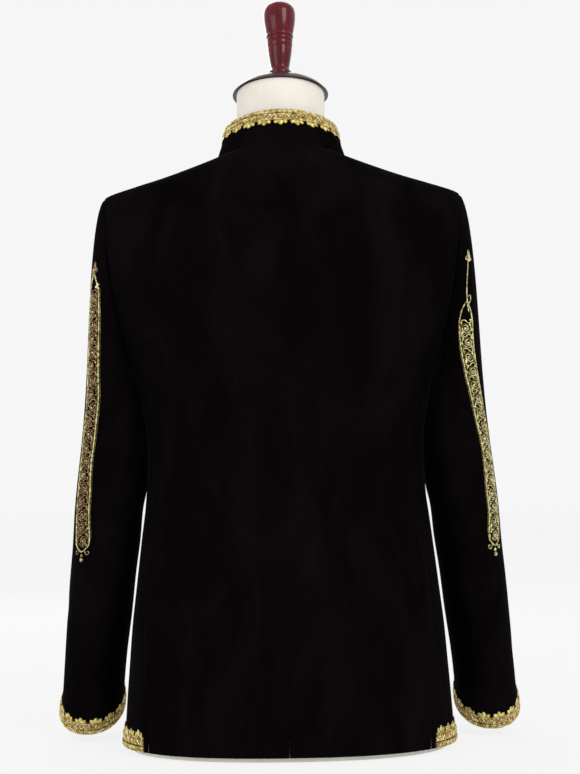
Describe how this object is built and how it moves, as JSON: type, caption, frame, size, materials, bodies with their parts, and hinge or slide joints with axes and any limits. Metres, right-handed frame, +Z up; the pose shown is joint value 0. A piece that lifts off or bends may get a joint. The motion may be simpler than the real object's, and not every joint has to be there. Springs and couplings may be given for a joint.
{
  "type": "button-up jacket on a limbless dress form",
  "caption": "Velvet stand-collar jacket buttoned down the front, with scalloped gold braid and scroll bands on the sleeves, standing on a limbless dress form.",
  "frame": {"origin": "centre of the dress form's flat base, on the surface that it stands on", "axes": "+Z up, +X to the wearer's left, the wearer faces -Y"},
  "size_m": [0.5774, 0.2645, 0.9041],
  "materials": {
    "velvet": "black cotton velvet, deep pile",
    "gold_braid": "metallic gold braid and cord",
    "gold_button": "polished domed metal",
    "form_cover": "cream cotton jersey",
    "form_cap": "dark burgundy gloss",
    "lacquered_wood": "red-brown lacquer, turned"
  },
  "bodies": {
    "root": {"back_left": "velvet", "back_right": "velvet", "front_left": "velvet", "front_right": "velvet", "side_left": "velvet", "side_right": "velvet", "sleeve_upper_left": "velvet", "sleeve_upper_right": "velvet", "sleeve_under_left": "velvet", "sleeve_under_right": "velvet", "collar": "velvet", "collar_trim": "gold_braid", "cuff_trim_left": "gold_braid", "cuff_trim_right": "gold_braid", "hem_trim_left": "gold_braid", "hem_trim_right": "gold_braid", "sleeve_band_left": "gold_braid", "sleeve_band_right": "gold_braid", "sleeve_scroll_left": "gold_braid", "sleeve_scroll_right": "gold_braid", "button_1": "gold_button", "button_2": "gold_button", "button_3": "gold_button", "button_4": "gold_button", "button_5": "gold_button", "button_6": "gold_button", "form_body": "form_cover", "form_neck": "form_cover", "form_cap": "form_cap", "form_finial": "lacquered_wood"}
  },
  "joints": []
}
